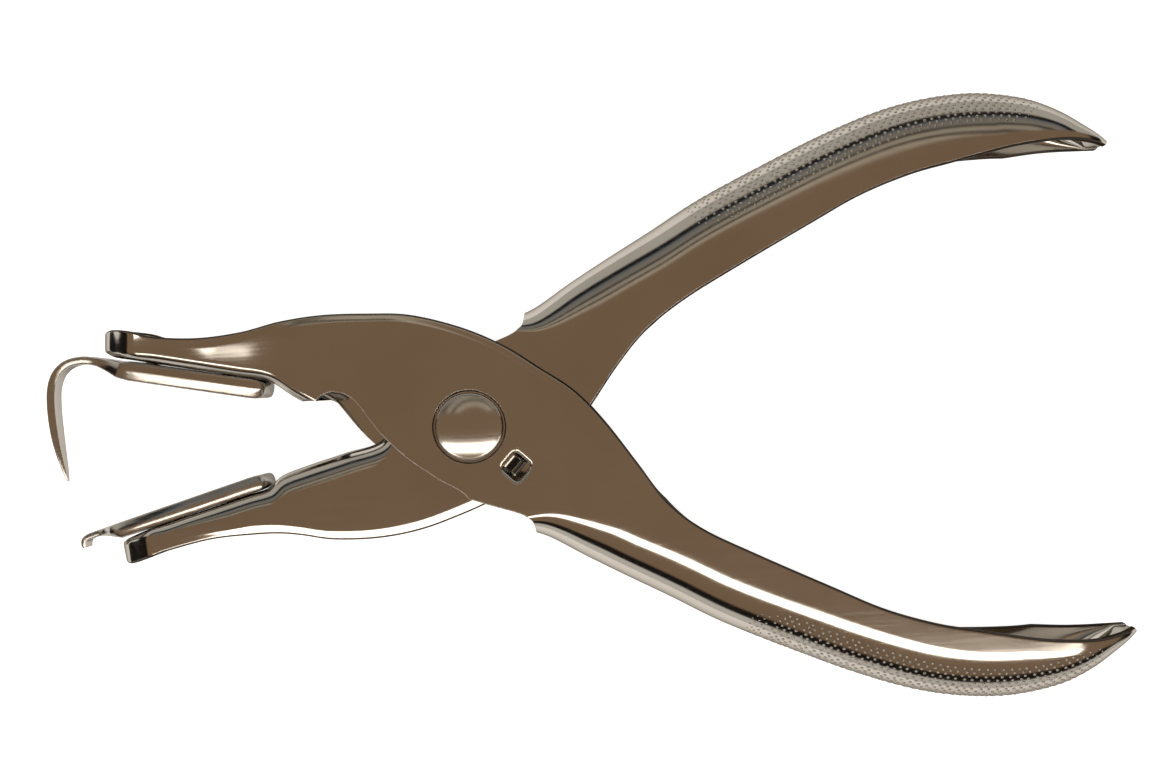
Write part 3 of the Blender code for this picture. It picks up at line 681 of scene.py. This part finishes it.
def rivet_hole(name, mirror):
    """Hole for the rivet. The outer lever's one opens out for the tail and has the dished ring."""
    clear = SHANK_R + GAP
    profile = [(0.0, BELOW), (clear, BELOW), (clear, ABOVE), (0.0, ABOVE)]
    if mirror == 1:
        under = 0.5
        flare = TAIL_R + GAP
        slope = (flare - clear) / SHEET
        groove = TOP - GROOVE_DEPTH
        profile = [(0.0, -under), (flare + under * slope, -under), (clear, SHEET), (clear, groove),
                   (HEAD_R + GROOVE_WIDTH * 0.6, groove),
                   (HEAD_R + GROOVE_WIDTH, TOP - GROOVE_DEPTH * 0.5),
                   (HEAD_R + GROOVE_WIDTH * 1.1, ABOVE), (0.0, ABOVE)]
    item = turned(name, profile, 64)
    item.rotation_euler.z = math.radians(BORE_TURN)
    return item


def window_cutter():
    """Square window with rounded corners, opening out where its rim rolls over."""
    bm = bmesh.new()
    rings = []
    for grow, lift in WINDOW_RIM:
        half = WINDOW_SIDE / 2 + grow
        corner = WINDOW_CORNER + grow
        ring = []
        for cx, cy, first in ((1, 1, 0), (-1, 1, 90), (-1, -1, 180), (1, -1, 270)):
            for degrees in range(first, first + 91, 15):
                turn = math.radians(degrees)
                x = WINDOW_RADIUS + cx * (half - corner) + corner * math.cos(turn)
                y = cy * (half - corner) + corner * math.sin(turn)
                ring.append(bm.verts.new((x * MM, y * MM, (TOP + lift) * MM)))
        rings.append(ring)
    join_rings(bm, rings)
    item = add_object("window", mesh_from(bm, "window"))
    item.rotation_euler.z = math.radians(WINDOW_ANGLE)
    return item


def slot_cutter():
    """Curved slot round the rivet in the inner lever's front plate."""
    order = range(SLOT_STEPS + 1)
    outline = []
    for radius, steps in ((SLOT_OUTER_R, order), (SLOT_INNER_R, reversed(order))):
        for step in steps:
            turn = math.radians(SLOT_START + (SLOT_END - SLOT_START) * step / SLOT_STEPS)
            outline.append((radius * math.cos(turn), radius * math.sin(turn)))
    top = MID_Z + INNER_HALF
    return prism("slot", outline, top - SHEET - CUT_PAST, top + CUT_PAST)


def window_tab():
    """Tab left by lancing the window, curling down from the edge nearest the rivet."""
    slope = math.radians(TAB_SLOPE)
    root = WINDOW_RADIUS - WINDOW_SIDE / 2 - TAB_ROOT
    top = TOP - TAB_SINK
    line = [(root, top, 0.0)]
    for step in range(TAB_BEND_STEPS + 1):
        turn = slope * step / TAB_BEND_STEPS
        reach = root + TAB_ROOT + TAB_BEND * math.sin(turn)
        line.append((reach, top - TAB_BEND * (1.0 - math.cos(turn)), turn))
    reach, height, _ = line[-1]
    line.append((reach + TAB_STRAIGHT * math.cos(slope), height - TAB_STRAIGHT * math.sin(slope), slope))
    half = TAB_WIDTH / 2
    chamfer = TAB_TRIM / TAB_THICK
    bm = bmesh.new()
    rings = []
    for reach, height, turn in line:
        ring = []
        for side, share in ((-half, chamfer), (-half + TAB_TRIM, 0.0), (half - TAB_TRIM, 0.0),
                            (half, chamfer), (half, 1.0), (-half, 1.0)):
            x = reach - TAB_THICK * math.sin(turn) * share
            z = height - TAB_THICK * math.cos(turn) * share
            ring.append(bm.verts.new((x * MM, side * MM, z * MM)))
        rings.append(ring)
    join_rings(bm, rings)
    item = add_object("window_tab", mesh_from(bm, "window_tab"), NICKEL)
    item.rotation_euler.z = math.radians(WINDOW_ANGLE)
    shade(item, 40.0)
    return item


def add_dot(bm, place, along, up, size, mirror):
    """A small dome, sunk a little into the face that it stands on."""
    across = up.cross(along).normalized()
    rings = []
    for share, lift in DOT_PROFILE:
        ring = []
        for step in range(DOT_SIDES):
            turn = math.tau * step / DOT_SIDES
            radius = KNURL_RADIUS * share * size
            spot = place + (along * math.cos(turn) + across * math.sin(turn)) * radius + up * lift * size
            ring.append(add_vert(bm, *spot, mirror))
        rings.append(ring)
    top = add_vert(bm, *(place + up * KNURL_HEIGHT * size), mirror)
    pairs = [(step, (step + 1) % DOT_SIDES) for step in range(DOT_SIDES)]
    for low, high in zip(rings, rings[1:]):
        for index, after in pairs:
            bm.faces.new((low[index], low[after], high[after], high[index]))
    for index, after in pairs:
        bm.faces.new((rings[-1][index], rings[-1][after], top))
    bm.faces.new(reversed(rings[0]))


def grip_sections(design):
    """Stations along a handle, each with its length along the spine."""
    rows = smooth_rows(design, KNURL_STEPS)[KNURL_STATION * KNURL_STEPS:]
    travelled = 0.0
    sections = [(travelled, rows[0])]
    for before, row in zip(rows, rows[1:]):
        travelled += (Vector(row[0:2]) - Vector(before[0:2])).length
        sections.append((travelled, row))
    return sections


def on_outline(points, reach):
    """Place and direction at a length along a broken line, or nothing past its end."""
    walked = 0.0
    for a, b in zip(points, points[1:]):
        length = (b - a).length
        if walked + length >= reach:
            return a.lerp(b, (reach - walked) / length), (b - a).normalized()
        walked += length
    return None


def knurl(name, design, half_at, mirror, finish):
    """Raised dots in staggered rows over the spine and both corners of a handle."""
    sections = grip_sections(design)
    bm = bmesh.new()
    count = int((KNURL_TO - KNURL_FROM) / KNURL_ROW)
    here = 0
    for line in range(count):
        target = KNURL_FROM + line * KNURL_ROW
        while here < len(sections) - 2 and sections[here][0] < target:
            here += 1
        row = sections[here][1]
        outline = [Vector(p) for p in half_section(row, half_at, 0.0, 0.0)]
        outline = outline[:FLAT_STEPS + CORNER_STEPS + 3]
        ahead = Vector(half_section(sections[here + 1][1], half_at, 0.0, 0.0)[0])
        along = (ahead - outline[0]).normalized()
        inward = Vector((row[2] - row[0], row[3] - row[1], 0.0))
        fade = min(1.0, line / KNURL_FADE_IN, (count - line) / KNURL_FADE_OUT)
        widest = KNURL_AROUND * (1.0 - KNURL_NARROW + KNURL_NARROW * fade)
        size = 1.0 - KNURL_SMALL + KNURL_SMALL * fade
        reach = 0.0 if line % 2 else KNURL_PITCH / 2
        while reach <= widest:
            found = on_outline(outline, reach)
            sides = (1, -1) if reach > 0.0 else (1,)
            for side in sides if found else ():
                place, tangent = found
                flip = Vector((1.0, 1.0, side))
                up = (tangent * flip).cross(along).normalized()
                lean = up.dot(inward)
                if lean > PLATE_LEAN or (abs(lean) <= PLATE_LEAN and up.z * side < 0.0):
                    up = -up
                add_dot(bm, place * flip, along, up, size, mirror)
            reach += KNURL_PITCH
    item = add_object(name, mesh_from(bm, name), finish)
    item.data.shade_smooth()
    return item


def face_frame(bite, side):
    """Start, direction and outward normal of a bite face; side is -1 for the upper jaw."""
    start = Vector(bite[0])
    along = Vector(bite[1])
    normal = Vector((along.y, -along.x)) * side
    return start, along, normal


def rivet_bores(word, bite, side, thick):
    """Holes for a bar's two small rivets, opening out at the bar's face for their countersunk ends."""
    start, along, normal = face_frame(bite, side)
    outside = GAP + thick
    past = 0.4
    inside = -SHEET - 0.6
    clear = SMALL_SHANK_R + GAP
    flare = SMALL_TAIL_R + GAP
    slope = (flare - clear) / SMALL_TAIL_DEPTH
    profile = [(0.0, outside + past), (flare + past * slope, outside + past),
               (clear, outside - SMALL_TAIL_DEPTH), (clear, inside), (0.0, inside)]
    made = []
    for number, station in enumerate(RIVET_STATIONS):
        item = turned(f"{word}_bore{number}", profile, 32)
        place = start + along * station
        axis = Vector((normal.x, normal.y, 0.0))
        across = Vector((0.0, 0.0, 1.0))
        turn = Matrix((across.cross(axis), across, axis)).transposed()
        item.matrix_world = Matrix.Translation(Vector((place.x, place.y, MID_Z)) * MM) @ turn.to_4x4()
        made.append(item)
    return made


def make_lever(name, design, half_at, mirror, notches, finish, more):
    """A lever with its notches, its rivet hole and the other cutters taken away."""
    lever = add_object(name, lever_mesh(name, design, half_at, mirror), finish)
    # Second slot: the painted shade of the open rims and cut edges.
    lever.data.materials.append(PAINTED_EDGE_SHADE)
    cutters = [prism(f"{name}_notch{index}", rounded_outline(outline), low, high, mirror, finish_slot=1)
               for index, (outline, low, high) in enumerate(notches)]
    cutters.append(rivet_hole(name + "_bore", mirror))
    cut(lever, cutters + more)
    shade(lever)
    return lever


# ---------------------------------------------------------------- bars
def bar_side(thick, width, share, tilt):
    """Quarter of a bar's outline: from the middle of its top, over a worn facet, to its side."""
    half_t = thick / 2
    half_w = width / 2
    edge = min(BAR_EDGE, half_t * EDGE_SHARE, half_w * EDGE_SHARE)
    start = half_t * (1.0 - 2.0 * share)
    soft = half_t * FACET_SOFT
    points = []
    for step in range(BAR_TOP_STEPS + 1):
        t = (half_t - edge) * step / BAR_TOP_STEPS
        past = (t - start) / soft
        fallen = past if past > STRAIGHT_PAST else math.log1p(math.exp(past))
        points.append((t, half_w - min(soft * math.tan(tilt) * fallen, half_w * FACET_SHARE)))
    corner = points[-1][1]
    for step in range(1, BAR_CORNER_STEPS + 1):
        turn = tilt + (math.radians(90.0) - tilt) * step / BAR_CORNER_STEPS
        points.append((half_t - edge + edge * (math.sin(turn) - math.sin(tilt)) / (1.0 - math.sin(tilt)),
                       corner - edge * (math.cos(tilt) - math.cos(turn))))
    points.append((half_t, (corner - edge) * 0.5))
    return points


def bar(name, rows, finish):
    """A bar along rows of x, y, thickness, width, and share and tilt of the facet on its left and right."""
    bm = bmesh.new()
    centres = [Vector(row[0:2]) for row in rows]
    rings = []
    for index, (x, y, thick, width, left, right) in enumerate(rows):
        along = centres[min(index + 1, len(rows) - 1)] - centres[max(index - 1, 0)]
        normal = Vector((-along.y, along.x)).normalized()
        upper_left = bar_side(thick, width, *left)
        upper_right = [(-t, w) for t, w in bar_side(thick, width, *right)]
        top = list(reversed(upper_left)) + upper_right[1:]
        ring = []
        for t, w in top + [(t, -w) for t, w in reversed(top)]:
            place = Vector((x, y)) + normal * t
            ring.append(add_vert(bm, place.x, place.y, w))
        rings.append(ring)
    join_rings(bm, rings)
    return add_object(name, mesh_from(bm, name), finish)


def bar_rows(bite, side, thick, length, left, right):
    """Rounded inner end and straight run of a bar lying on a bite face."""
    start, along, normal = face_frame(bite, side)
    full = thick + GAP - SEAT
    centre = start + normal * (SEAT + full / 2)
    rows = []
    for reach, size in (*BAR_END, (length * 0.5, 1.0), (length, 1.0)):
        place = centre + along * reach
        width = BAR_WIDTH * (BAR_END_WIDTH + (1.0 - BAR_END_WIDTH) * size)
        rows.append((place.x, place.y, full * size, width, left, right))
    return rows


def hook_rows():
    rows = bar_rows(OUTER_BITE, -1, HOOK_BAR_THICK, HOOK_BAR_LENGTH, HOOK_FACET, PLAIN)
    return rows + [(*row, HOOK_FACET, PLAIN) for row in smooth_rows(HOOK_PATH, HOOK_STEPS)]


def tongue_rows():
    rows = bar_rows(INNER_BITE, 1, TONGUE_BAR_THICK, TONGUE_BAR_LENGTH, TONGUE_BACK, TONGUE_BITE)
    start, along, normal = face_frame(INNER_BITE, 1)
    top = GAP + TONGUE_BAR_THICK
    path = []
    for reach, thick, width, dip in TONGUE_PATH:
        place = start + along * reach + normal * (top - thick / 2 - dip)
        path.append((place.x, place.y, thick, width))
    return rows + [(*row, TONGUE_BACK, TONGUE_BITE) for row in smooth_rows(path, TONGUE_STEPS)]


# ---------------------------------------------------------------- pivot and spring
def make_pivot():
    """The rivet, turned in one: countersunk tail, shank and domed head with a rounded edge."""
    edge = HEAD_R - HEAD_EDGE
    cap = HEAD_TOP - HEAD_RIM_TOP
    low = TOP - GROOVE_DEPTH + HEAD_SEAT
    foot = low + HEAD_FOOT
    profile = [(0.0, 0.0), (TAIL_R - TAIL_CHAMFER[0], 0.0), (TAIL_R, TAIL_CHAMFER[1]),
               (SHANK_R, SHEET), (SHANK_R, low), (HEAD_R - 0.12, low),
               (HEAD_R - 0.03, low + 0.04), (HEAD_R, foot)]
    for step in range(1, EDGE_STEPS):
        turn = math.radians(90.0 * step / EDGE_STEPS)
        rise = (HEAD_RIM_TOP - foot) * math.sin(turn)
        profile.append((edge + HEAD_EDGE * math.cos(turn), foot + rise))
    for step in range(DOME_STEPS):
        r = edge * (1.0 - step / DOME_STEPS)
        profile.append((r, HEAD_TOP - cap * (r / edge) ** 2))
    profile.append((0.0, HEAD_TOP))
    return turned("pivot_head", profile, 128, NICKEL_RIVET)


def spring_points():
    """Centre line of the torsion spring, from the inner lever's leg to the outer one's."""
    first = math.radians(SPRING_START_ANGLE)
    sweep = math.radians(SPRING_END_ANGLE - SPRING_START_ANGLE + 360.0 * COIL_TURNS)
    last = first + sweep
    points = []
    for step in range(INNER_LEG_STEPS + 1):
        reach = INNER_LEG * (1.0 - step / INNER_LEG_STEPS)
        points.append((COIL_R * math.cos(first) + reach * math.sin(first),
                       COIL_R * math.sin(first) - reach * math.cos(first), COIL_FIRST_Z))
    steps = round(TURN_STEPS * sweep / math.tau)
    for step in range(1, steps + 1):
        turn = first + sweep * step / steps
        height = COIL_FIRST_Z + (COIL_LAST_Z - COIL_FIRST_Z) * step / steps
        points.append((COIL_R * math.cos(turn), COIL_R * math.sin(turn), height))
    for step in range(1, OUTER_LEG_STEPS + 1):
        reach = OUTER_LEG * step / OUTER_LEG_STEPS
        points.append((COIL_R * math.cos(last) - reach * math.sin(last),
                       COIL_R * math.sin(last) + reach * math.cos(last), COIL_LAST_Z))
    x, y, _ = points[-1]
    for step in range(1, TIP_STEPS + 1):
        points.append((x, y, COIL_LAST_Z + (OUTER_LEG_TIP_Z - COIL_LAST_Z) * step / TIP_STEPS))
    return [Vector(p) for p in points]


def make_spring():
    """Round wire along the spring's centre line."""
    points = spring_points()
    bm = bmesh.new()
    rings = []
    side = Vector((0.0, 0.0, 1.0))
    for index, place in enumerate(points):
        along = (points[min(index + 1, len(points) - 1)] - points[max(index - 1, 0)]).normalized()
        side = (side - along * side.dot(along)).normalized()
        across = along.cross(side)
        ring = []
        for step in range(WIRE_SIDES):
            turn = math.tau * step / WIRE_SIDES
            spot = place + (side * math.cos(turn) + across * math.sin(turn)) * WIRE_R
            ring.append(bm.verts.new(spot * MM))
        rings.append(ring)
    join_rings(bm, rings)
    item = add_object("spring", mesh_from(bm, "spring"), SPRING_WIRE)
    shade(item, 50.0)
    return item


# ---------------------------------------------------------------- build the pieces
OUTER_DESIGN = JAW_OUTER + NECK_OUTER + HANDLE
INNER_DESIGN = JAW_INNER + NECK_INNER + HANDLE

outer = make_lever("lever_outer", OUTER_DESIGN, outer_half, 1,
                   ((NOTCH_THROUGH, BELOW, ABOVE), (NOTCH_FRONT, NOTCH_SPLIT_Z, ABOVE + 1.0)),
                   NICKEL, [window_cutter()] + rivet_bores("outer", OUTER_BITE, -1, HOOK_BAR_THICK))
inner = make_lever("lever_inner", INNER_DESIGN, inner_half, -1, ((NOTCH_INNER, BELOW, ABOVE),),
                   NICKEL_INNER, [slot_cutter()] + rivet_bores("inner", INNER_BITE, 1, TONGUE_BAR_THICK))
tab = window_tab()
outer_grip = knurl("knurl_outer", OUTER_DESIGN, outer_half, 1, NICKEL)
inner_grip = knurl("knurl_inner", INNER_DESIGN, inner_half, -1, NICKEL_INNER)
hook = bar("hook", hook_rows(), NICKEL_BLADE)
cut(hook, rivet_bores("hook", OUTER_BITE, -1, HOOK_BAR_THICK))
shade(hook, 40.0)
tongue = bar("tongue", tongue_rows(), NICKEL_BLADE)
cut(tongue, rivet_bores("tongue", INNER_BITE, 1, TONGUE_BAR_THICK))
shade(tongue, 40.0)
pivot = make_pivot()
spring = make_spring()

for piece, body, stands_for, slot in (
        (outer, "outer", "outer_lever", "nickel_outer"), (tab, "outer", None, "nickel_outer"),
        (outer_grip, "outer", None, "nickel_outer"), (hook, "outer", "hook_blade", "nickel_hook"),
        (pivot, "outer", "pivot_rivet", "nickel_rivet"), (inner, "inner", "inner_lever", "nickel_inner"),
        (inner_grip, "inner", None, "nickel_inner"), (tongue, "inner", "tongue_blade", "nickel_tongue")):
    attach(piece, body)
    if stands_for:
        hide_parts(stands_for)
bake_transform(spring)
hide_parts("return_spring")

for name in ("hook_rivet_rear", "hook_rivet_front", "tongue_rivet_rear", "tongue_rivet_front"):
    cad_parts[name].material_slots[0].material = PLAIN_STEEL
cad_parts["pivot_sleeve"].material_slots[0].material = PLAIN_STEEL


# ---------------------------------------------------------------- table, light, camera
def make_table():
    """White paper, slightly luminous so that it stays even under the tool."""
    bm = bmesh.new()
    half = 3.0
    for x, y in ((-half, -half), (half, -half), (half, half), (-half, half)):
        bm.verts.new((x, y, 0.0))
    bm.faces.new(bm.verts)
    paper = bpy.data.materials.new("white_paper")
    paper.use_nodes = True
    tree = paper.node_tree
    shader = tree.nodes["Principled BSDF"]
    shader.inputs["Roughness"].default_value = 0.9
    shader.inputs["Specular IOR Level"].default_value = 0.1
    shader.inputs["Emission Color"].default_value = (1.0, 1.0, 1.0, 1.0)
    shader.inputs["Emission Strength"].default_value = 0.78
    place = node(tree, "ShaderNodeTexCoord")
    fibres = node(tree, "ShaderNodeTexNoise")
    fibres.inputs["Scale"].default_value = 900.0
    tree.links.new(place.outputs["Object"], fibres.inputs["Vector"])
    tone = ramp(tree, ((0.3, (0.60, 0.60, 0.60)), (0.7, (0.62, 0.62, 0.62))))
    tree.links.new(fibres.outputs["Fac"], tone.inputs["Fac"])
    tree.links.new(tone.outputs["Color"], shader.inputs["Base Color"])
    table = add_object("table", mesh_from(bm, "table"), paper)


def make_room():
    """Brown ceiling over a pale wall with dark bands behind, a pale wall in front and dark sides."""
    brown = (0.330, 0.226, 0.147)
    dark = (0.016, 0.013, 0.012)
    cream = (0.72, 0.70, 0.65)
    world = bpy.data.worlds.new("room")
    bpy.context.scene.world = world
    world.use_nodes = True
    tree = world.node_tree
    link = tree.links.new
    place = node(tree, "ShaderNodeTexCoord")
    split = node(tree, "ShaderNodeSeparateXYZ")
    link(place.outputs["Generated"], split.inputs["Vector"])
    sides = ramp(tree, ((0.33, dark), (0.40, brown), (1.0, brown)))
    front = ramp(tree, (
        (0.26, (0.90, 0.88, 0.84)), (0.31, dark), (0.50, dark), (0.56, brown), (1.0, brown)))
    behind = ramp(tree, (
        (0.46, cream), (0.50, dark), (0.60, dark),
        (0.635, (0.15, 0.20, 0.26)), (0.67, (0.30, 0.29, 0.27)), (0.77, (0.36, 0.34, 0.30)),
        (0.785, (0.06, 0.05, 0.04)), (0.805, (0.08, 0.07, 0.06)),
        (0.825, (0.52, 0.47, 0.39)), (0.86, (0.60, 0.54, 0.45)),
        (0.875, (0.08, 0.06, 0.045)), (0.89, (0.10, 0.08, 0.06)),
        (0.90, (0.72, 0.64, 0.52)), (0.92, (0.66, 0.57, 0.45)), (0.94, brown), (1.0, brown)))
    for wall in (sides, front, behind):
        link(split.outputs["Z"], wall.inputs["Fac"])
    colour = sides.outputs["Color"]
    for wall, near, far in ((front, -0.25, -0.45), (behind, 0.22, 0.30)):
        share = node(tree, "ShaderNodeMapRange", interpolation_type="SMOOTHSTEP")
        share.inputs["From Min"].default_value = near
        share.inputs["From Max"].default_value = far
        link(split.outputs["Y"], share.inputs["Value"])
        mixed = node(tree, "ShaderNodeMix", data_type="RGBA")
        link(share.outputs["Result"], mixed.inputs["Factor"])
        link(colour, mixed.inputs["A"])
        link(wall.outputs["Color"], mixed.inputs["B"])
        colour = mixed.outputs["Result"]
    link(colour, tree.nodes["Background"].inputs["Color"])


def area_light(name, place, aim, size, watts, colour, seen=True):
    """A rectangular lamp aimed at a point; one that isn't seen shows in no reflection."""
    data = bpy.data.lights.new(name, "AREA")
    data.shape = "RECTANGLE"
    data.size, data.size_y = size
    data.energy = watts
    data.color = colour
    item = bpy.data.objects.new(name, data)
    bpy.context.scene.collection.objects.link(item)
    item.location = place
    item.rotation_euler = (Vector(place) - Vector(aim)).to_track_quat("Z", "Y").to_euler()
    item.visible_glossy = seen


def make_camera():
    """Straight above, close, turned a few degrees, as the photograph was taken."""
    data = bpy.data.cameras.new("camera")
    data.lens = 32.63
    data.sensor_width = 36.0
    data.clip_start = 0.01
    item = bpy.data.objects.new("camera", data)
    bpy.context.scene.collection.objects.link(item)
    item.location = (0.0184, 0.0048, 0.174)
    item.rotation_euler = (0.0, 0.0, math.radians(-3.5))
    bpy.context.scene.camera = item


make_table()
make_room()
area_light("lamp", (-0.04, -0.235, 0.50), (-0.04, -0.235, 0.0), (0.90, 0.115), 1.4, (1.0, 0.97, 0.92))
area_light("fill", (0.02, 0.0, 0.90), (0.02, 0.0, 0.0), (1.8, 1.8), 8.0, (1.0, 1.0, 1.0), seen=False)
make_camera()
bpy.context.scene.view_settings.view_transform = "Standard"
